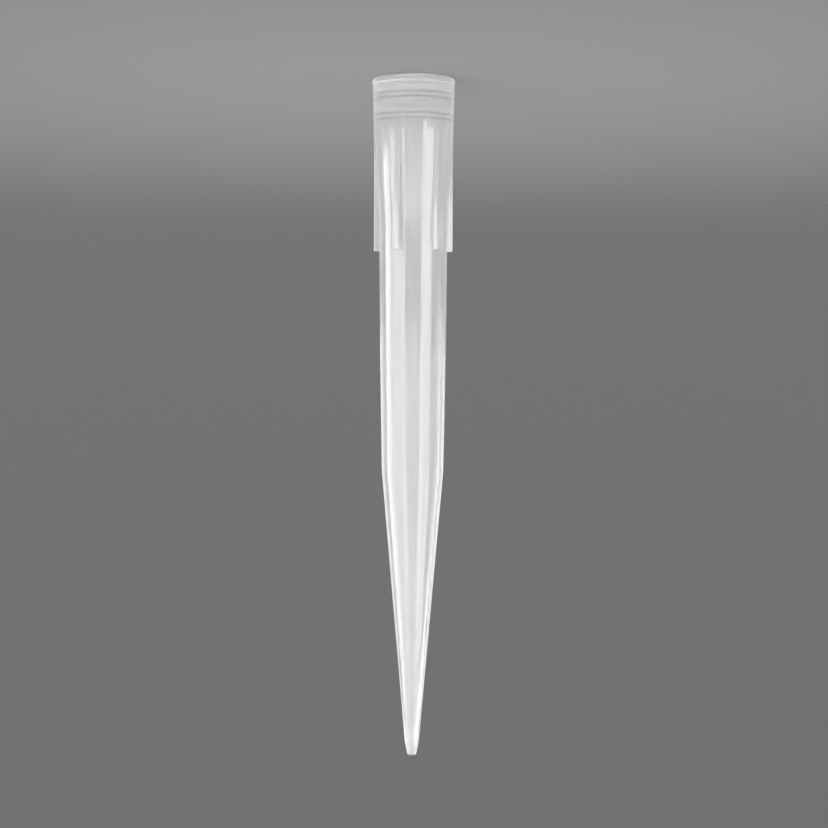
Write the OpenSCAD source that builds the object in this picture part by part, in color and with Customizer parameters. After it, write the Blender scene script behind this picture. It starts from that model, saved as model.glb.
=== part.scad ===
// Pipette tip of the 1000 microlitre universal size, moulded in one piece of polypropylene.
// It stands on its rim, mouth down and point up, on its axis of symmetry z.
// Heights are measured from the rim, which lies in the plane z = 0.

/* [Overall] */
// Length from the rim to the point
tip_length = 71; // [56:0.5:90]
// Outer diameter of the body where the ribs end
body_d = 7.13; // [5.6:0.01:8.8]

/* [Point and cone] */
// Bore at the orifice
orifice_d = 0.6; // [0.4:0.02:1]
// Outer diameter of the point's end face
point_d = 0.88; // [0.7:0.02:1.2]
// Length of the steeper bevel at the point
bevel_length = 1.4; // [0.8:0.1:2.5]
// Outer diameter where the bevel meets the cone
bevel_d = 1.46; // [1.2:0.01:1.8]
// Length from the shoulder to the point
cone_length = 29.8; // [22:0.2:38]
// Wall thickness at the shoulder
cone_wall = 0.5; // [0.3:0.01:0.7]

/* [Body] */
// Share of the body's length, from the ribs on, that has the weaker draft
weak_share = 0.46; // [0.2:0.01:0.7]
// Draft next to the ribs, per side, in degrees
weak_draft = 0.5; // [0:0.05:0.8]
// Draft next to the shoulder, per side, in degrees
strong_draft = 1.05; // [0.5:0.05:1.6]
// Wall thickness of the body
body_wall = 0.6; // [0.4:0.01:0.8]

/* [Collar] */
// Length from the rim to the ends of the ribs
collar_length = 18.15; // [14:0.05:23]
// Length of the plain band next to the rim
band_length = 4.3; // [3.4:0.05:5.8]
// Length of the collar that flares towards the rim
flare_length = 7.9; // [6:0.1:10]
// Growth of the collar's radius over the flare
flare = 0.16; // [0:0.01:0.4]
// Height of the lip
lip_height = 0.8; // [0.6:0.05:1.2]
// How far the lip stands proud of the flared collar
lip_step = 0.04; // [0:0.01:0.2]
// Radius of the lip's two outer edges
lip_round = 0.2; // [0.1:0.01:0.28]

/* [Ribs] */
// Number of ribs round the collar
rib_count = 6; // [3:1:8]
// Thickness of a rib
rib_width = 0.6; // [0.4:0.05:1]
// Height of a rib above the body, at its end
rib_height = 0.595; // [0.3:0.005:0.9]
// Length of a rib that stands on the straight body
rib_tail = 3.05; // [1:0.05:5]

/* [Socket] */
// Wall thickness round the socket
socket_wall = 0.55; // [0.4:0.01:0.7]
// Distance that the socket's taper carries on past the recesses' slope
socket_tail = 2.2; // [1.5:0.1:3]
// Chamfer that leads a pipette's cone into the mouth
mouth_chamfer = 0.2; // [0.1:0.01:0.3]
// Depth of the first sealing ring inside the mouth
first_seal_depth = 2.05; // [1.4:0.05:2.6]
// Distance from the first to the second sealing ring
seal_spacing = 2.2; // [1.2:0.05:3.2]
// Height of a sealing ring above the socket's wall
seal_height = 0.12; // [0.05:0.01:0.2]
// Length of the cylindrical land on top of a sealing ring
seal_land = 0.4; // [0.1:0.01:0.6]
// Length of the ramp at each end of a sealing ring
seal_ramp = 0.12; // [0.08:0.01:0.3]

/* [Hidden] */
$fn = 96;
eps = 0.01;
clear = 1;

// heights of the features above the rim
recess_z = collar_length - rib_tail;
socket_z = recess_z + socket_tail;
shoulder_z = tip_length - cone_length;
draft_change_z = collar_length + weak_share * (shoulder_z - collar_length);
bevel_z = tip_length - bevel_length;

// radii of the outside: body, then collar, then point
body_r = body_d / 2;
draft_change_r = body_r - (draft_change_z - collar_length) * tan(weak_draft);
shoulder_r = draft_change_r - (shoulder_z - draft_change_z) * tan(strong_draft);
recess_r = body_r + rib_tail * tan(weak_draft);
rib_r = body_r + rib_height;
collar_rim_r = rib_r + flare;
band_r = collar_r_at(band_length);
lip_r = collar_rim_r + lip_step;
bevel_r = bevel_d / 2;
point_r = point_d / 2;

// slope of the recesses' floor where it rises to the band
recess_slope = (band_r - recess_r) / (recess_z - band_length);

// radii of the inside: socket, body, point
socket_rim_r = collar_rim_r - socket_wall;
socket_band_r = band_r - socket_wall;
bore_change_r = draft_change_r - body_wall;
socket_end_r = bore_change_r + (draft_change_z - socket_z) * tan(weak_draft);
bore_shoulder_r = shoulder_r - cone_wall;
orifice_r = orifice_d / 2;
seal_depths = [first_seal_depth, first_seal_depth + seal_spacing];

// Outer radius of the flared collar at a height above the rim.
function collar_r_at(z) = collar_rim_r - flare * z / flare_length;

// Radius of the socket's wall at a depth inside the plain band.
function socket_r_at(depth) =
    socket_rim_r - (socket_rim_r - socket_band_r) * depth / band_length;

// Half section of the outside: collar round the tops of the ribs, body, cone and point.
// The lip closes it at the rim.
module outer_section() {
    polygon([
        [0, lip_round],
        [collar_r_at(lip_round), lip_round],
        [rib_r, flare_length],
        [rib_r, collar_length],
        [body_r, collar_length],
        [draft_change_r, draft_change_z],
        [shoulder_r, shoulder_z],
        [bevel_r, bevel_z],
        [point_r, tip_length],
        [0, tip_length]
    ]);
}

// Half section of the lip, with both outer edges rounded.
module lip_section() {
    edge_r = lip_r - lip_round;
    square([edge_r, lip_height]);
    translate([0, lip_round])
        square([lip_r, lip_height - 2 * lip_round]);
    for (z = [lip_round, lip_height - lip_round])
        translate([edge_r, z])
            circle(lip_round);
}

// Half section of what is cut away between the ribs. Its floor leaves the plain band,
// slopes in to the body and runs along it to the ends of the ribs.
module recess_section() {
    polygon([
        [band_r + recess_slope * clear, band_length - clear],
        [recess_r, recess_z],
        [body_r, collar_length],
        [lip_r + clear, collar_length + clear],
        [lip_r + clear, band_length - clear]
    ]);
}

// Half section of a sealing ring: a short cylindrical land between two ramps.
// The ramps run on into the wall to twice the ring's height.
module seal_section(depth) {
    land_r = socket_r_at(depth) - seal_height;
    root_r = land_r + 2 * seal_height;
    land = seal_land / 2;
    root = land + 2 * seal_ramp;
    polygon([
        [land_r, depth - land],
        [land_r, depth + land],
        [root_r, depth + root],
        [root_r, depth - root]
    ]);
}

// Half section of the bore, from the mouth through the socket and the body to the orifice.
module bore_section() {
    difference() {
        polygon([
            [0, -eps],
            [socket_rim_r + mouth_chamfer, -eps],
            [socket_rim_r + mouth_chamfer, 0],
            [socket_rim_r, mouth_chamfer],
            [socket_band_r, band_length],
            [socket_end_r, socket_z],
            [bore_change_r, draft_change_z],
            [bore_shoulder_r, shoulder_z],
            [orifice_r, tip_length],
            [orifice_r, tip_length + eps],
            [0, tip_length + eps]
        ]);
        for (depth = seal_depths)
            seal_section(depth);
    }
}

// The plates that stay as ribs between the recesses.
module rib_plates() {
    for (i = [0 : rib_count - 1])
        rotate([0, 0, i * 360 / rib_count])
            translate([0, -rib_width / 2, 0])
                cube([lip_r + 2 * clear, rib_width, collar_length + 2 * clear]);
}

// The recesses between the ribs.
module recesses() {
    difference() {
        rotate_extrude()
            recess_section();
        rib_plates();
    }
}

// The whole tip.
module pipette_tip() {
    color([0.88, 0.89, 0.89, 0.6])
        difference() {
            rotate_extrude() {
                outer_section();
                lip_section();
            }
            recesses();
            rotate_extrude()
                bore_section();
        }
}

pipette_tip();
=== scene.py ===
"""A disposable pipette tip of milky polypropylene, standing mouth down in a plain soft-lit studio."""

import logging
import math
from dataclasses import dataclass, field, replace
from enum import Enum
from typing import Any, Callable, Iterable, Optional, Sequence, Union

import bmesh
import bpy
from mathutils import Matrix, Vector


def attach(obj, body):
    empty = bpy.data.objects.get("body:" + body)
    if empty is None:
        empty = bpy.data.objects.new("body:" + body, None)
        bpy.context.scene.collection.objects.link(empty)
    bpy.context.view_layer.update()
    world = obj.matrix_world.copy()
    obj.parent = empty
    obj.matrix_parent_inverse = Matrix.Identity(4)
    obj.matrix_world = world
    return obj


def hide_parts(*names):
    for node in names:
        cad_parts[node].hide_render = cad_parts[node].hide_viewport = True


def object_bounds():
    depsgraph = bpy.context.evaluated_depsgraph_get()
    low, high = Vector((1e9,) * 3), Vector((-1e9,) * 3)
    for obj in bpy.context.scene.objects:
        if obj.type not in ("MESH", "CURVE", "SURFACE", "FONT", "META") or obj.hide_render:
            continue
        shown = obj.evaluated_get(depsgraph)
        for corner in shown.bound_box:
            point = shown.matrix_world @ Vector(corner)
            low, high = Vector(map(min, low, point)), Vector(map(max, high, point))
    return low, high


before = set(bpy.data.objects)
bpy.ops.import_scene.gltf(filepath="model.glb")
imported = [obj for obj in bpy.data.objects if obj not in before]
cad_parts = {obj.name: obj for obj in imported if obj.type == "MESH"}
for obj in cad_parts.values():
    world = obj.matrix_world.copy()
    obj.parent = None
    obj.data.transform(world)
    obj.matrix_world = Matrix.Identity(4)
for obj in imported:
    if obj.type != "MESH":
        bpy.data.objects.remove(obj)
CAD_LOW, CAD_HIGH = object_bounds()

LOG = logging.getLogger("pipette_tip")
NODE = "pipette_tip"
BODY = "root"
MM = 0.001
EVEN = (1.0, 1.0, 1.0)


# ---------------------------------------------------------------------------
# Shader maths
# ---------------------------------------------------------------------------


class Field:
    """A number that varies over a surface: an output socket with arithmetic."""

    def __init__(self, graph: "Graph", socket: bpy.types.NodeSocket) -> None:
        """Wraps a socket.

        Args:
            graph: The graph that the socket belongs to.
            socket: The output socket.
        """
        self.graph = graph
        self.socket = socket

    def _math(self, operation: str, *values: Union["Field", float]) -> "Field":
        """Adds one Math node.

        Args:
            operation: The Math node's operation.
            values: Its inputs in order, as fields or plain numbers.

        Returns:
            The result as a field.
        """
        inputs = dict(enumerate(values))
        return self.graph.node("ShaderNodeMath", {"operation": operation}, inputs).out("Value")

    def __add__(self, other: Union["Field", float]) -> "Field":
        """Adds a field or a number."""
        return self._math("ADD", self, other)

    def __radd__(self, other: float) -> "Field":
        """Adds this field to a number."""
        return self._math("ADD", other, self)

    def __sub__(self, other: Union["Field", float]) -> "Field":
        """Takes a field or a number away."""
        return self._math("SUBTRACT", self, other)

    def __rsub__(self, other: float) -> "Field":
        """Takes this field away from a number."""
        return self._math("SUBTRACT", other, self)

    def __mul__(self, other: Union["Field", float]) -> "Field":
        """Multiplies by a field or a number."""
        return self._math("MULTIPLY", self, other)

    def __rmul__(self, other: float) -> "Field":
        """Multiplies a number by this field."""
        return self._math("MULTIPLY", other, self)

    def ramp(self, low: float, high: float) -> "Field":
        """Stretches the part of the field from low to high over 0 to 1, with soft ends.

        Args:
            low: The value that becomes 0.
            high: The value that becomes 1.

        Returns:
            The stretched field.
        """
        made = self.graph.node(
            "ShaderNodeMapRange",
            {"interpolation_type": "SMOOTHSTEP"},
            {"Value": self, "From Min": low, "From Max": high},
        )
        return made.out("Result")

    def about(self, middle: float, change: float) -> "Field":
        """Turns a pattern from 0 to 1 into a number that varies about a middle value.

        Args:
            middle: The number halfway up the pattern.
            change: How much the number changes from the pattern's 0 to its 1.

        Returns:
            The varying number.
        """
        return middle + change * (self - 0.5)


@dataclass(frozen=True)
class Pattern:
    """A pattern of clouds on a piece.

    It has scale clouds for each metre and detail finer layers, which are stronger with more
    roughness. The stretch squeezes them along each axis of the piece, or draws them out below 1.
    """

    scale: float
    detail: float
    roughness: float
    stretch: tuple[float, float, float] = EVEN


class Made:
    """A node that has been added to a graph."""

    def __init__(self, graph: "Graph", node: bpy.types.Node) -> None:
        """Wraps a node.

        Args:
            graph: The graph that the node belongs to.
            node: The node.
        """
        self.graph = graph
        self.node = node

    def out(self, name: str) -> Field:
        """Gives the named output as a field."""
        return Field(self.graph, self.node.outputs[name])


# a Mix node's sockets for colours, by number, because its sockets share their names
MIX_FACTOR = 0
MIX_FIRST = 6
MIX_SECOND = 7
MIX_RESULT = 2


class Graph:
    """The node tree of one material."""

    def __init__(self, name: str) -> None:
        """Makes a material with an empty node tree.

        Args:
            name: The material's name.
        """
        self.material = bpy.data.materials.new(name)
        self.material.use_nodes = True
        self.tree = self.material.node_tree
        self.tree.nodes.clear()

    def node(
        self,
        kind: str,
        settings: Optional[dict[str, Any]] = None,
        inputs: Optional[dict[Union[str, int], Any]] = None,
    ) -> Made:
        """Adds a node.

        Args:
            kind: The node's type.
            settings: Its own settings, which are set first.
            inputs: Values or fields for its input sockets, by name or number.

        Returns:
            The node, ready to be read.
        """
        node = self.tree.nodes.new(kind)
        for name, value in (settings or {}).items():
            setattr(node, name, value)
        for name, value in (inputs or {}).items():
            if isinstance(value, Field):
                self.tree.links.new(value.socket, node.inputs[name])
            else:
                node.inputs[name].default_value = value
        return Made(self, node)

    def object_point(self, stretch: tuple[float, float, float] = EVEN) -> Field:
        """Gives the place on the piece, in its own frame.

        Args:
            stretch: How many times each direction is stretched.

        Returns:
            The stretched place.
        """
        place = self.node("ShaderNodeTexCoord").out("Object")
        mapped = self.node("ShaderNodeMapping", inputs={"Vector": place, "Scale": stretch})
        return mapped.out("Vector")

    def height(self) -> Field:
        """Gives the height on the piece, in its own frame, in metres."""
        return self.node("ShaderNodeSeparateXYZ", inputs={"Vector": self.object_point()}).out("Z")

    def clouds(self, pattern: Pattern) -> Field:
        """Adds a pattern of clouds.

        Args:
            pattern: What the clouds are like.

        Returns:
            The pattern, from 0 to 1.
        """
        made = self.node(
            "ShaderNodeTexNoise",
            {"noise_dimensions": "3D"},
            {
                "Vector": self.object_point(pattern.stretch),
                "Scale": pattern.scale,
                "Detail": pattern.detail,
                "Roughness": pattern.roughness,
            },
        )
        return made.out("Fac")

    def relief(self, pattern: Field, strength: float, height: float) -> Field:
        """Gives the surface a fine relief.

        Args:
            pattern: The relief's shape, from 0 to 1.
            strength: How much of it shows, from 0 to 1.
            height: Its height in metres.

        Returns:
            The direction that the surface faces, for a shader's Normal.
        """
        inputs = {"Strength": strength, "Distance": height, "Height": pattern}
        return self.node("ShaderNodeBump", inputs=inputs).out("Normal")

    def blend(
        self,
        factor: Field,
        first: Union[Field, Sequence[float]],
        second: Union[Field, Sequence[float]],
    ) -> Field:
        """Mixes two colours.

        Args:
            factor: 0 where the first shows, 1 where the second does.
            first: A colour's field, or a linear RGB colour.
            second: Another.

        Returns:
            The mixed colour.
        """
        ends = {
            number: colour if isinstance(colour, Field) else (*colour, 1.0)
            for number, colour in ((MIX_FIRST, first), (MIX_SECOND, second))
        }
        made = self.node("ShaderNodeMix", {"data_type": "RGBA"}, {MIX_FACTOR: factor, **ends})
        return Field(self, made.node.outputs[MIX_RESULT])

    def surface(self, shader: Field) -> bpy.types.Material:
        """Makes a shader the material's surface.

        Args:
            shader: The shader's output.

        Returns:
            The finished material.
        """
        self.node("ShaderNodeOutputMaterial", {"target": "ALL"}, {"Surface": shader})
        return self.material


# ---------------------------------------------------------------------------
# Finishes
# ---------------------------------------------------------------------------


@dataclass(frozen=True)
class MilkZone:
    """A stretch of the tip's height over which a share of the clear plastic turns milky, in metres."""

    clear_at: float
    milky_at: float
    share: float


THICK_WALL = MilkZone(clear_at=75.0 * MM, milky_at=45.0 * MM, share=0.12)
# Painted light: these two zones make the plastic milkier, and so whiter, towards the mouth, in place of
# light falling on the collar and the band.
PAINTED_LIGHT_COLLAR = MilkZone(clear_at=60.0 * MM, milky_at=10.0 * MM, share=0.135)
PAINTED_LIGHT_BAND = MilkZone(clear_at=10.0 * MM, milky_at=2.0 * MM, share=0.1)
POINT = MilkZone(clear_at=67.0 * MM, milky_at=70.5 * MM, share=0.1)
RIB = MilkZone(clear_at=4.3 * MM, milky_at=9.0 * MM, share=0.15)


@dataclass(frozen=True)
class MilkyPolypropylene:
    """Natural polypropylene from a polished mould: clear enough to see through, hazy all through."""

    name: str = "milky_polypropylene"
    thin_colour: tuple[float, float, float] = (0.94, 0.94, 0.94)
    thick_colour: tuple[float, float, float] = (0.98, 0.98, 0.98)
    clearness: float = 0.9
    edge_milk: float = 0.6
    edge_from: float = 0.35
    edge_to: float = 0.95
    zones: tuple[MilkZone, ...] = (THICK_WALL, POINT)
    milk_gloss: float = 0.25
    refraction: float = 1.49
    haze: float = 0.08
    haze_change: float = 0.04
    scatter: float = 1.0
    scatter_depth: float = 0.6 * MM
    # Painted shade: the colour, reach and core of the darker lines painted across the plastic at the
    # heights of the sealing rings' flanks.
    shade_colour: tuple[float, float, float] = (0.12, 0.12, 0.12)
    shade_reach: float = 0.16 * MM
    shade_core: float = 0.1
    painted_shade_heights: tuple[float, ...] = ()
    flow: Pattern = Pattern(scale=420.0, detail=3.0, roughness=0.5, stretch=(1.0, 1.0, 0.25))
    cloud: Pattern = Pattern(scale=1900.0, detail=2.0, roughness=0.5)
    flow_share: float = 0.65
    milk_from: float = 0.3
    milk_to: float = 0.7
    polish: Pattern = Pattern(scale=9000.0, detail=2.0, roughness=0.6, stretch=(1.0, 1.0, 0.04))
    grain: Pattern = Pattern(scale=24000.0, detail=2.0, roughness=0.6)
    polish_share: float = 0.6
    relief_strength: float = 0.25
    relief_height: float = 0.004 * MM

    def colour(self, graph: Graph, milk: Field) -> Field:
        """Colours the plastic, with a painted shade line across it at each of the painted shade heights.

        Args:
            graph: The material's graph.
            milk: Where the plastic is thin, at 0, and where it is thick, at 1.

        Returns:
            The colour.
        """
        colour = graph.blend(milk, self.thin_colour, self.thick_colour)
        # Painted shade: a darker line is painted into the colour at each of these heights.
        for height in self.painted_shade_heights:
            offset = (graph.height() - height) * (1 / self.shade_reach)
            near = 1 - (offset * offset).ramp(self.shade_core, 1.0)
            colour = graph.blend(near, colour, self.shade_colour)
        return colour

    def clear_share(self, graph: Graph) -> Field:
        """Gives the share that is clear: less where the plastic is seen at a slant or lies in a zone.

        Args:
            graph: The material's graph.

        Returns:
            The share, from 0 to 1.
        """
        slant = graph.node("ShaderNodeLayerWeight").out("Facing")
        share = 1 - slant.ramp(self.edge_from, self.edge_to) * self.edge_milk
        for zone in self.zones:
            share = share * (1 - graph.height().ramp(zone.clear_at, zone.milky_at) * zone.share)
        return share

    def build(self) -> bpy.types.Material:
        """Makes the material.

        Returns:
            The finished material.
        """
        graph = Graph(self.name)
        flow = graph.clouds(self.flow) * self.flow_share
        cloud = graph.clouds(self.cloud) * (1 - self.flow_share)
        milk = (flow + cloud).ramp(self.milk_from, self.milk_to)
        polish = graph.clouds(self.polish) * self.polish_share
        grain = graph.clouds(self.grain) * (1 - self.polish_share)
        plastic = {
            "Base Color": self.colour(graph, milk),
            "Roughness": milk.about(self.haze, self.haze_change),
            "IOR": self.refraction,
            "Subsurface Weight": self.scatter,
            "Subsurface Radius": EVEN,
            "Subsurface Scale": self.scatter_depth,
            "Normal": graph.relief(polish + grain, self.relief_strength, self.relief_height),
        }
        method = {"subsurface_method": "RANDOM_WALK"}
        clear, milky = (
            graph.node("ShaderNodeBsdfPrincipled", method, {**plastic, **own}).out("BSDF")
            for own in ({"Transmission Weight": self.clearness}, {"Specular IOR Level": self.milk_gloss})
        )
        shaders = {0: self.clear_share(graph), 1: milky, 2: clear}
        return graph.surface(graph.node("ShaderNodeMixShader", inputs=shaders).out("Shader"))


# Painted shade: the outside and the ribs get faint painted shade lines at the heights of the rings'
# flanks, and the bore gets dark ones with the default shade colour.
OUTSIDE = MilkyPolypropylene(
    zones=(THICK_WALL, PAINTED_LIGHT_COLLAR, PAINTED_LIGHT_BAND, POINT), shade_colour=(0.85, 0.85, 0.85), shade_reach=0.2 * MM
)
RIBS = replace(OUTSIDE, name="milky_polypropylene_rib", zones=(THICK_WALL, PAINTED_LIGHT_COLLAR, PAINTED_LIGHT_BAND, RIB))
BORE = MilkyPolypropylene(name="milky_polypropylene_bore", haze=0.12)


@dataclass(frozen=True)
class StudioPaper:
    """Matt seamless paper, which is seen grey, lighter near the tip in a painted pool of light, and
    lights the tip as pale paper does.
    """

    name: str = "studio_paper"
    painted_pool_colour: tuple[float, float, float] = (0.35, 0.35, 0.35)
    far_colour: tuple[float, float, float] = (0.166, 0.166, 0.166)
    change_from: float = -0.1
    change_to: float = 0.2
    pale_colour: tuple[float, float, float] = (0.85, 0.85, 0.85)
    gloss: float = 0.0
    roughness: float = 0.9
    roughness_change: float = 0.08
    tooth: Pattern = Pattern(scale=900.0, detail=2.0, roughness=0.6)
    tooth_strength: float = 0.1
    tooth_height: float = 0.05 * MM

    def build(self) -> bpy.types.Material:
        """Makes the material.

        Returns:
            The finished material.
        """
        graph = Graph(self.name)
        length = graph.node("ShaderNodeVectorMath", {"operation": "LENGTH"}, {0: graph.object_point()})
        distance = length.out("Value").ramp(self.change_from, self.change_to)
        tooth = graph.clouds(self.tooth)
        path = graph.node("ShaderNodeLightPath")
        seen = path.out("Is Camera Ray") + path.out("Is Glossy Ray") + path.out("Is Transmission Ray")
        # Painted light: the grey seen is lighter near the tip, a painted pool of light that fades out to
        # the far grey.
        grey = graph.blend(distance, self.painted_pool_colour, self.far_colour)
        paper = {
            "Base Color": graph.blend(seen, self.pale_colour, grey),
            "Roughness": tooth.about(self.roughness, self.roughness_change),
            "Specular IOR Level": self.gloss,
            "Normal": graph.relief(tooth, self.tooth_strength, self.tooth_height),
        }
        return graph.surface(graph.node("ShaderNodeBsdfPrincipled", inputs=paper).out("BSDF"))


# ---------------------------------------------------------------------------
# Turned outlines
# ---------------------------------------------------------------------------


@dataclass(frozen=True)
class Corner:
    """One corner of a turned outline, in millimetres."""

    radius: float
    height: float
    rounding: float = 0.0

    def place(self) -> Vector:
        """Gives the corner's place, as (radius, height)."""
        return Vector((self.radius, self.height))


# how far the middle of a quarter circle stands from its two sides, as a share of its radius
ARC_BOW = 1 - math.sqrt(0.5)


def rounded(corners: Sequence[Corner], arc_steps: int, hold: float) -> list[Vector]:
    """Replaces the rounded corners of a closed outline by arcs.

    Args:
        corners: The outline's corners, in order.
        arc_steps: The number of edges in an arc.
        hold: Distance from an arc's end to a point that keeps the side straight up to there. A
            side shorter than three times that has no room for such points.

    Returns:
        The points of the outline, as (radius, height).
    """
    points: list[Vector] = []
    least_side = 3 * hold
    for index, corner in enumerate(corners):
        here = corner.place()
        before = corners[index - 1]
        after = corners[(index + 1) % len(corners)]
        back = (before.place() - here).normalized()
        on = (after.place() - here).normalized()
        turn = math.pi - back.angle(on)
        if corner.rounding == 0.0:
            points.append(here)
            continue
        reach = corner.rounding * math.tan(turn / 2)
        start, end = here + back * reach, here + on * reach
        centre = here + (back + on).normalized() * corner.rounding / math.cos(turn / 2)
        arm = start - centre
        way = 1.0 if arm.cross(end - centre) > 0 else -1.0
        if (before.place() - start).length > least_side:
            points.append(start + back * hold)
        for step in range(arc_steps + 1):
            points.append(centre + Matrix.Rotation(way * turn * step / arc_steps, 2) @ arm)
        if (after.place() - end).length > least_side:
            points.append(end + on * hold)
    return points


def between(place: float, first: tuple[float, float], second: tuple[float, float]) -> float:
    """Gives the value at a place on the straight line through two points.

    Args:
        place: Where the value is wanted.
        first: A place and its value.
        second: Another.

    Returns:
        The value.
    """
    share = (place - first[0]) / (second[0] - first[0])
    return first[1] + (second[1] - first[1]) * share


# ---------------------------------------------------------------------------
# Modelling helpers
# ---------------------------------------------------------------------------


class Kind(Enum):
    """What a selection is made of."""

    POINT = "VERT"
    EDGE = "EDGE"
    FACE = "FACE"


class Bench:
    """Edit-mode work on one mesh: what is selected, and how it is moved."""

    @staticmethod
    def clear() -> None:
        """Leaves edit mode and deselects everything."""
        if bpy.context.object is not None and bpy.context.object.mode != "OBJECT":
            bpy.ops.object.mode_set(mode="OBJECT")
        bpy.ops.object.select_all(action="DESELECT")

    @staticmethod
    def mesh() -> bmesh.types.BMesh:
        """Gets the mesh in edit mode.

        Returns:
            The mesh, ready to be read by number.
        """
        mesh = bmesh.from_edit_mesh(bpy.context.object.data)
        mesh.verts.ensure_lookup_table()
        return mesh

    @staticmethod
    def chosen() -> list[int]:
        """Gives the numbers of the selected points."""
        return [vertex.index for vertex in Bench.mesh().verts if vertex.select]

    @staticmethod
    def choose(numbers: Iterable[int], kind: Kind = Kind.POINT) -> None:
        """Selects the points with the given numbers, or the edges or faces between them.

        Args:
            numbers: The points' numbers.
            kind: What is left selected.
        """
        bpy.ops.mesh.select_mode(type=Kind.POINT.value)
        bpy.ops.mesh.select_all(action="DESELECT")
        mesh = Bench.mesh()
        for number in numbers:
            mesh.verts[number].select = True
        mesh.select_flush(True)
        bmesh.update_edit_mesh(bpy.context.object.data)
        bpy.ops.mesh.select_mode(type=kind.value)

    @staticmethod
    def choose_faces(wanted: Callable[[Vector], bool]) -> None:
        """Selects faces by their middle.

        Args:
            wanted: Says whether the face with that middle is wanted.
        """
        bpy.ops.mesh.select_mode(type=Kind.FACE.value)
        bpy.ops.mesh.select_all(action="DESELECT")
        for face in Bench.mesh().faces:
            face.select_set(wanted(face.calc_center_median()))
        bmesh.update_edit_mesh(bpy.context.object.data)

    @staticmethod
    def turn(angle: float) -> None:
        """Turns what is selected about the Z axis, anticlockwise from above.

        Args:
            angle: The angle in radians.
        """
        bpy.ops.transform.rotate(value=-angle, orient_axis="Z", center_override=(0, 0, 0))

    @staticmethod
    def dress(
        piece: bpy.types.Object,
        material: bpy.types.Material,
        wanted: Callable[[bpy.types.MeshPolygon], bool],
    ) -> None:
        """Gives some of a piece's faces a material of their own.

        Args:
            piece: The piece, which has its own material already.
            material: The material for those faces.
            wanted: Says whether a face is one of them.
        """
        piece.data.materials.append(material)
        for face in piece.data.polygons:
            if wanted(face):
                face.material_index = len(piece.data.materials) - 1

    @staticmethod
    def finish(piece: bpy.types.Object, crease: float, material: bpy.types.Material) -> None:
        """Gives a piece its material and smooth shading between its sharp edges.

        Args:
            piece: The piece.
            crease: The angle in radians from which an edge stays sharp.
            material: Its material.
        """
        Bench.clear()
        piece.data.materials.clear()
        piece.data.materials.append(material)
        piece.select_set(True)
        bpy.context.view_layer.objects.active = piece
        bpy.ops.object.shade_smooth_by_angle(angle=crease)
        Bench.clear()


# ---------------------------------------------------------------------------
# The tip
# ---------------------------------------------------------------------------


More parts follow.
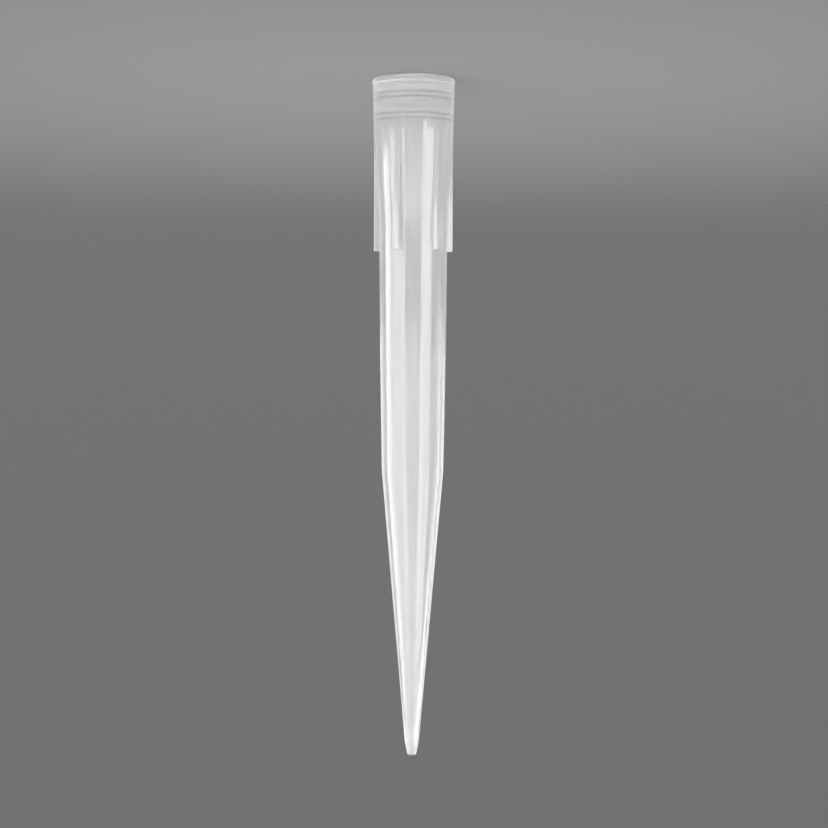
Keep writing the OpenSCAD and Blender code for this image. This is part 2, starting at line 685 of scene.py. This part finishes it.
@dataclass
class MouldedTip:
    """The tip: lip, ribbed collar with its sealing rings, body, cone and point.

    Sizes are in millimetres. A rounding is the radius of the arc at a corner of the outline. A rib
    begins where it rises by more than the least rise, and its fillet and its edge each take up no
    more than the rounded share of its rise. The rib's lead is how far inside the band the search
    for its floor begins. Hold is the distance from an arc to the point that keeps the side next to
    it straight, and points nearer to each other than weld are merged.
    """

    name: str = "moulded_tip"
    length: float = (CAD_HIGH.z - CAD_LOW.z) / MM

    # lip and collar
    lip_radius: float = min(CAD_HIGH.x, CAD_HIGH.y, -CAD_LOW.x, -CAD_LOW.y) / MM
    lip_height: float = 0.8
    lip_rounding: float = 0.2
    lip_top_rounding: float = 0.15
    lip_root_rounding: float = 0.1
    flare: float = 0.16
    flare_length: float = 7.9
    band_length: float = 4.3
    band_rounding: float = 8.0
    recess_end: float = 15.1
    recess_rounding: float = 12.0
    collar_length: float = 18.15

    # ribs
    rib_count: int = 6
    rib_width: float = 0.6
    rib_height: float = 0.595
    rib_fillet: float = 0.1
    rib_edge: float = 0.09
    rounded_share: float = 0.35
    rib_lead: float = 1.0
    least_rise: float = 0.005

    # body, cone and point
    body_radius: float = 3.565
    weak_draft: float = math.radians(0.5)
    strong_draft: float = math.radians(1.05)
    draft_change: float = 28.753
    draft_rounding: float = 60.0
    shoulder: float = 41.2
    shoulder_rounding: float = 12.0
    bevel_length: float = 1.4
    bevel_radius: float = 0.73
    bevel_rounding: float = 3.0
    point_radius: float = 0.44
    point_rounding: float = 0.06

    # bore and sealing rings
    mouth_chamfer: float = 0.2
    mouth_rounding: float = 0.04
    chamfer_rounding: float = 0.1
    socket_wall: float = 0.55
    socket_end: float = 17.3
    socket_rounding: float = 6.0
    body_wall: float = 0.6
    cone_wall: float = 0.5
    orifice_radius: float = 0.3
    orifice_rounding: float = 0.02
    ring_depths: tuple[float, float] = (2.05, 4.25)
    ring_height: float = 0.12
    ring_land: float = 0.4
    ring_ramp: float = 0.12
    ring_root_rounding: float = 0.06
    ring_land_rounding: float = 0.05

    # mesh
    sector_columns: int = 32
    rib_columns: int = 8
    arc_steps: int = 4
    hold: float = 0.12
    weld: float = 0.0001
    crease: float = math.radians(40)

    # finishes
    finish: MilkyPolypropylene = OUTSIDE
    rib_finish: MilkyPolypropylene = RIBS
    bore_finish: MilkyPolypropylene = BORE

    def body_radius_at(self, height: float) -> float:
        """Gives the body's outer radius.

        Args:
            height: The height above the rim.

        Returns:
            The radius.
        """
        weak = min(height, self.draft_change) - self.collar_length
        strong = max(height - self.draft_change, 0.0)
        return self.body_radius - weak * math.tan(self.weak_draft) - strong * math.tan(self.strong_draft)

    def collar_radius_at(self, height: float) -> float:
        """Gives the collar's radius over the tops of its ribs at a height above the rim."""
        flare = self.flare * max(1 - height / self.flare_length, 0.0)
        return self.body_radius + self.rib_height + flare

    def floor_radius_at(self, height: float) -> float:
        """Gives the radius of the recesses' floor.

        Args:
            height: The height above the rim.

        Returns:
            The radius.
        """
        if height > self.recess_end:
            return self.body_radius_at(height)
        band = (self.band_length, self.collar_radius_at(self.band_length))
        return between(height, band, (self.recess_end, self.body_radius_at(self.recess_end)))

    def outside(self) -> list[Corner]:
        """Draws the outside, from the point to the rim, along the floor of the recesses.

        Returns:
            Its corners.
        """
        shoulder_radius = self.body_radius_at(self.shoulder)
        draft_radius = self.body_radius_at(self.draft_change)
        recess_radius = self.body_radius_at(self.recess_end)
        band_radius = self.collar_radius_at(self.band_length)
        lip_top = self.lip_height - self.lip_rounding
        return [
            Corner(self.point_radius, self.length, self.point_rounding),
            Corner(self.bevel_radius, self.length - self.bevel_length, self.bevel_rounding),
            Corner(shoulder_radius, self.shoulder, self.shoulder_rounding),
            Corner(draft_radius, self.draft_change, self.draft_rounding),
            Corner(self.body_radius, self.collar_length),
            Corner(recess_radius, self.recess_end, self.recess_rounding),
            Corner(self.floor_radius_at(self.flare_length), self.flare_length),
            Corner(band_radius, self.band_length, self.band_rounding),
            Corner(self.collar_radius_at(self.lip_height), self.lip_height, self.lip_root_rounding),
            Corner(self.lip_radius, lip_top, self.lip_top_rounding),
            Corner(self.lip_radius, 0.0, self.lip_rounding),
        ]

    def sealing_ring(self, depth: float) -> list[Corner]:
        """Draws a sealing ring.

        Args:
            depth: How deep its middle lies inside the mouth.

        Returns:
            Its corners, from the mouth inwards.
        """
        wall = self.collar_radius_at(depth) - self.socket_wall
        land = wall - self.ring_height
        half = self.ring_land / 2
        foot = half + self.ring_ramp
        return [
            Corner(wall, depth - foot, self.ring_root_rounding),
            Corner(land, depth - half, self.ring_land_rounding),
            Corner(land, depth + half, self.ring_land_rounding),
            Corner(wall, depth + foot, self.ring_root_rounding),
        ]

    def inside(self) -> list[Corner]:
        """Draws the bore, from the rim to the orifice.

        Returns:
            Its corners.
        """
        rim = self.collar_radius_at(0.0) - self.socket_wall
        body = self.body_radius_at(self.draft_change) - self.body_wall
        socket = body + (self.draft_change - self.socket_end) * math.tan(self.weak_draft)
        shoulder = self.body_radius_at(self.shoulder) - self.cone_wall
        return [
            Corner(rim + self.mouth_chamfer, 0.0, self.mouth_rounding),
            Corner(rim, self.mouth_chamfer, self.chamfer_rounding),
            *[corner for depth in self.ring_depths for corner in self.sealing_ring(depth)],
            Corner(socket, self.socket_end, self.socket_rounding),
            Corner(body, self.draft_change, self.draft_rounding),
            Corner(shoulder, self.shoulder, self.shoulder_rounding),
            Corner(self.orifice_radius, self.length, self.orifice_rounding),
        ]

    def rib_section(self, rise: float) -> list[tuple[float, float]]:
        """Draws half of a rib's section, from its root to its top.

        Args:
            rise: How far the rib stands above the floor at this place.

        Returns:
            Pairs of a height above the floor and half a width.
        """
        fillet = min(self.rib_fillet, self.rounded_share * rise)
        edge = min(self.rib_edge, self.rounded_share * rise)
        half = self.rib_width / 2
        return [
            (0.0, half + fillet),
            (ARC_BOW * fillet, half + ARC_BOW * fillet),
            (fillet, half),
            (rise - edge, half),
            (rise - ARC_BOW * edge, half - ARC_BOW * edge),
            (rise, half - edge),
        ]

    def trace(self, points: Sequence[Vector]) -> None:
        """Draws the closed outline in the XZ plane, one point after another.

        Args:
            points: The outline's points.
        """
        Bench.clear()
        bpy.ops.mesh.primitive_plane_add(size=MM, location=(0, 0, 0))
        bpy.context.object.name = self.name
        bpy.ops.object.mode_set(mode="EDIT")
        bpy.ops.mesh.select_mode(type=Kind.POINT.value)
        bpy.ops.mesh.merge(type="CENTER")
        bpy.ops.transform.translate(value=(points[0].x * MM, 0, points[0].y * MM))
        for before, after in zip(points, points[1:]):
            step = (after - before) * MM
            move = {"value": (step.x, 0, step.y)}
            bpy.ops.mesh.extrude_region_move(TRANSFORM_OT_translate=move)
        Bench.choose([vertex.index for vertex in Bench.mesh().verts if len(vertex.link_edges) == 1])
        bpy.ops.mesh.edge_face_add()

    def spin(self) -> None:
        """Spins the outline through the sector of one rib, and centres the sector on +X."""
        bpy.ops.mesh.select_all(action="SELECT")
        sector = math.tau / self.rib_count
        bpy.ops.mesh.spin(steps=self.sector_columns, angle=sector, center=(0, 0, 0), axis=(0, 0, 1))
        middle = sum((vertex.co for vertex in Bench.mesh().verts), Vector())
        bpy.ops.mesh.select_all(action="SELECT")
        Bench.turn(-math.atan2(middle.y, middle.x))

    def under_rib(self, middle: Vector) -> bool:
        """Says whether a face is on the floor where the rib goes.

        Args:
            middle: The face's middle.

        Returns:
            Whether it is.
        """
        height = middle.z / MM
        radius = math.hypot(middle.x, middle.y) / MM
        reach = math.tau / self.rib_count * self.rib_columns / self.sector_columns / 2
        nearness = self.socket_wall / 4
        return (
            self.band_length - self.rib_lead < height < self.collar_length
            and abs(math.atan2(middle.y, middle.x)) < reach
            and abs(radius - self.floor_radius_at(height)) < nearness
            and radius < self.collar_radius_at(height) - self.weld
        )

    def in_rib(self, face: bpy.types.MeshPolygon) -> bool:
        """Says whether a face lies in line with a rib, over the length of the recesses.

        Args:
            face: The face.

        Returns:
            Whether it does.
        """
        sector = math.tau / self.rib_count
        turn = math.remainder(math.atan2(face.center.y, face.center.x), sector)
        aside = math.hypot(face.center.x, face.center.y) * abs(math.sin(turn)) / MM
        along = self.band_length < face.center.z / MM < self.collar_length + self.weld
        return along and aside < self.rib_width / 2 + self.rib_fillet

    def in_bore(self, face: bpy.types.MeshPolygon) -> bool:
        """Says whether a face is on the bore's wall, which looks in at the axis."""
        return face.center.x * face.normal.x + face.center.y * face.normal.y < -self.weld * MM

    def rows(self, numbers: Iterable[int]) -> list[list[int]]:
        """Sorts points into rows of one height, from the rim up.

        Args:
            numbers: The points' numbers.

        Returns:
            The numbers of each row's points.
        """
        points = Bench.mesh().verts
        found: dict[int, list[int]] = {}
        for number in numbers:
            found.setdefault(round(points[number].co.z / MM / self.weld), []).append(number)
        return [found[key] for key in sorted(found)]

    def raise_rib(self) -> None:
        """Raises the rib from the floor, step by step up its section, and rounds its foot's edge."""
        Bench.choose_faces(self.under_rib)
        points = Bench.mesh().verts
        rows = [[points[number].co / MM for number in row] for row in self.rows(Bench.chosen())]
        heights = [row[0].z for row in rows]
        floors = [max(math.hypot(place.x, place.y) for place in row) for row in rows]
        for level in range(len(self.rib_section(self.rib_height))):
            if level > 0:
                bpy.ops.mesh.extrude_region_move()
            raised = Bench.chosen()
            for height, floor, row in zip(heights, floors, self.rows(raised)):
                rise = self.collar_radius_at(height) - floor
                rise = rise if rise > self.least_rise else 0.0
                lift, half_width = self.rib_section(rise)[level]
                places = [Bench.mesh().verts[number].co / MM for number in row]
                growth = (floor + lift) / max(place.x for place in places)
                widening = half_width / max(place.y for place in places)
                Bench.choose(row)
                bpy.ops.transform.resize(value=(growth, widening, 1), center_override=(0, 0, 0))
                setback = lift - (rise - self.rib_edge)
                if height == heights[-1] and setback > 0.0:
                    bpy.ops.transform.translate(value=(0, 0, -setback * MM))
            Bench.choose(raised, Kind.FACE)

    def copy_sectors(self) -> None:
        """Copies the sector round the axis and welds the copies into one closed wall."""
        bpy.ops.mesh.select_mode(type=Kind.POINT.value)
        bpy.ops.mesh.select_all(action="SELECT")
        for _ in range(self.rib_count - 1):
            bpy.ops.mesh.duplicate()
            Bench.turn(math.tau / self.rib_count)
        bpy.ops.mesh.select_all(action="SELECT")
        bpy.ops.mesh.remove_doubles(threshold=self.weld * MM)
        bpy.ops.mesh.normals_make_consistent(inside=False)

    def with_painted_ring_shade(self, finish: MilkyPolypropylene) -> bpy.types.Material:
        """Makes a finish with painted shade lines at the heights of the sealing rings' flanks, where the
        flanks turn light away.

        Args:
            finish: The finish without them.

        Returns:
            The finished material.
        """
        reach = (self.ring_land + self.ring_ramp) / 2
        flanks = [(depth + side * reach) * MM for depth in self.ring_depths for side in (-1, 1)]
        return replace(finish, painted_shade_heights=tuple(flanks)).build()

    def build(self) -> bpy.types.Object:
        """Models the tip and dresses it.

        Returns:
            The finished piece.
        """
        self.trace(rounded([*self.outside(), *self.inside()], self.arc_steps, self.hold))
        piece = bpy.context.object
        self.spin()
        self.raise_rib()
        self.copy_sectors()
        Bench.finish(piece, self.crease, self.with_painted_ring_shade(self.finish))
        Bench.dress(piece, self.with_painted_ring_shade(self.rib_finish), self.in_rib)
        Bench.dress(piece, self.with_painted_ring_shade(self.bore_finish), self.in_bore)
        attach(piece, BODY)
        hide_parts(NODE)
        return piece


# ---------------------------------------------------------------------------
# The studio
# ---------------------------------------------------------------------------


@dataclass
class Backdrop:
    """A round sheet of paper that is the floor and sweeps up into a wall all round, in metres."""

    name: str = "paper_sweep"
    floor_radius: float = 0.4
    sweep_radius: float = 1.4
    sweep_turn: float = math.radians(42)
    columns: int = 96
    sweep_steps: int = 16
    crease: float = math.radians(60)
    finish: StudioPaper = field(default_factory=StudioPaper)

    def build(self) -> bpy.types.Object:
        """Models the sweep and lays it under the tip.

        Returns:
            The sweep.
        """
        Bench.clear()
        bpy.ops.mesh.primitive_circle_add(
            vertices=self.columns,
            radius=self.floor_radius,
            fill_type="TRIFAN",
            location=(0, 0, CAD_LOW.z),
        )
        piece = bpy.context.object
        piece.name = self.name
        bpy.ops.object.transform_apply(location=True, rotation=True, scale=True)
        bpy.ops.object.mode_set(mode="EDIT")
        border = [vertex.index for vertex in Bench.mesh().verts if vertex.is_boundary]
        Bench.choose(border, Kind.EDGE)
        radius, height = self.floor_radius, 0.0
        for step in range(self.sweep_steps):
            turn = self.sweep_turn * (step + 1) / self.sweep_steps
            rise = self.sweep_radius * (1 - math.cos(turn)) - height
            widening = (self.floor_radius + self.sweep_radius * math.sin(turn)) / radius
            bpy.ops.mesh.extrude_region_move(TRANSFORM_OT_translate={"value": (0, 0, rise)})
            bpy.ops.transform.resize(value=(widening, widening, 1), center_override=(0, 0, 0))
            radius, height = radius * widening, height + rise
        Bench.finish(piece, self.crease, self.finish.build())
        return piece


@dataclass
class Camera:
    """The camera, level with the middle of the tip and turned over, so that the mouth is at the top.

    Lengths are in metres, apart from the lens, which is in millimetres.
    """

    name: str = "camera"
    azimuth: float = math.radians(6)
    distance: float = 0.2344
    lens: float = 96.98
    aim_height: float = 35.21 * MM
    aim_aside: float = 0.13 * MM
    roll: float = math.radians(180.17)
    nearest: float = 0.01

    def towards(self, bearing: float) -> Vector:
        """Gives a level direction from the tip.

        Args:
            bearing: The angle from the camera, positive towards the right of its picture.

        Returns:
            The direction, one unit long.
        """
        angle = self.azimuth - bearing
        return Vector((math.sin(angle), -math.cos(angle), 0.0))

    def build(self) -> bpy.types.Object:
        """Makes the camera and looks through it.

        Returns:
            The camera.
        """
        Bench.clear()
        aim = Vector((0, 0, self.aim_height)) + self.towards(math.pi / 2) * self.aim_aside
        back = self.towards(0.0)
        bpy.ops.object.camera_add(location=aim + back * self.distance)
        camera = bpy.context.object
        camera.name = self.name
        look = (-back).to_track_quat("-Z", "Y").to_matrix()
        camera.rotation_euler = (look @ Matrix.Rotation(self.roll, 3, "Z")).to_euler()
        camera.data.lens = self.lens
        camera.data.clip_start = self.nearest
        bpy.context.scene.camera = camera
        return camera


class Reach(Enum):
    """What a lamp's light acts on."""

    ALL = "everything"
    CLEAR = "what the plastic mirrors and lets through"
    GLOSS = "what the plastic mirrors"


@dataclass(frozen=True)
class Softbox:
    """A soft lamp that faces the tip.

    The bearing is in degrees from the camera, positive towards the right of its picture. The height,
    the distance from the axis, the width and how tall it is are in metres. The radiance is that of
    its face, where 1 would be seen as white.
    """

    name: str
    bearing: float
    height: float
    distance: float
    width: float
    tall: float
    radiance: float
    reach: Reach = Reach.GLOSS

    def build(self, camera: Camera) -> bpy.types.Object:
        """Hangs the lamp.

        Args:
            camera: The camera that the bearing starts from.

        Returns:
            The lamp.
        """
        Bench.clear()
        place = camera.towards(math.radians(self.bearing)) * self.distance
        place.z = self.height
        bpy.ops.object.light_add(type="AREA", location=place)
        lamp = bpy.context.object
        lamp.name = self.name
        inwards = (CAD_LOW + CAD_HIGH) / 2 - place
        lamp.rotation_euler = inwards.to_track_quat("-Z", "Y").to_euler()
        lamp.data.shape = "RECTANGLE"
        lamp.data.size = self.width
        lamp.data.size_y = self.tall
        lamp.data.energy = self.radiance * math.pi * self.width * self.tall
        lamp.visible_camera = False
        lamp.visible_diffuse = self.reach is Reach.ALL
        lamp.visible_transmission = self.reach is not Reach.GLOSS
        return lamp


@dataclass
class Studio:
    """Paper, lamps, an even fill from all round and the camera."""

    fill: float = 1.0
    backdrop: Backdrop = field(default_factory=Backdrop)
    camera: Camera = field(default_factory=Camera)
    softboxes: tuple[Softbox, ...] = (
        Softbox(
            name="softbox_key",
            bearing=-25.0,
            height=0.75,
            distance=0.45,
            width=0.60,
            tall=0.60,
            radiance=1.1,
            reach=Reach.ALL,
        ),
        Softbox(
            name="softbox_front",
            bearing=0.0,
            height=0.205,
            distance=0.50,
            width=0.70,
            tall=0.41,
            radiance=2.7,
            reach=Reach.CLEAR,
        ),
        Softbox(
            name="softbox_front_left",
            bearing=-51.5,
            height=0.061,
            distance=0.10,
            width=0.097,
            tall=0.12,
            radiance=6.2,
        ),
        Softbox(
            name="softbox_front_right",
            bearing=44.5,
            height=0.061,
            distance=0.10,
            width=0.072,
            tall=0.12,
            radiance=7.6,
        ),
        Softbox(
            name="softbox_back_left",
            bearing=-135.0,
            height=0.14,
            distance=0.50,
            width=0.50,
            tall=0.34,
            radiance=1.6,
        ),
        Softbox(
            name="softbox_back_right",
            bearing=111.5,
            height=0.14,
            distance=0.50,
            width=1.06,
            tall=0.34,
            radiance=1.9,
            reach=Reach.CLEAR,
        ),
        Softbox(
            name="strip_left",
            bearing=-92.5,
            height=0.06,
            distance=0.10,
            width=0.052,
            tall=0.116,
            radiance=8.5,
        ),
    )

    def build(self) -> None:
        """Sets the studio up."""
        scene = bpy.context.scene
        scene.view_settings.view_transform = "Standard"
        world = bpy.data.worlds.new("fill")
        world.use_nodes = True
        background = world.node_tree.nodes["Background"]
        background.inputs["Color"].default_value = (1.0, 1.0, 1.0, 1.0)
        background.inputs["Strength"].default_value = self.fill
        scene.world = world
        self.backdrop.build()
        self.camera.build()
        for softbox in self.softboxes:
            softbox.build(self.camera)


def report(piece: bpy.types.Object) -> None:
    """Logs a finished piece's name, size and number of faces.

    Args:
        piece: The piece.
    """
    size = " x ".join(f"{side / MM:.2f}" for side in piece.dimensions)
    LOG.info("%s: %s mm, %d faces", piece.name, size, len(piece.data.polygons))


def main() -> None:
    """Builds the studio and the tip."""
    logging.basicConfig(level=logging.INFO, format="%(name)s: %(message)s")
    Studio().build()
    report(MouldedTip().build())


if __name__ == "__main__":
    main()
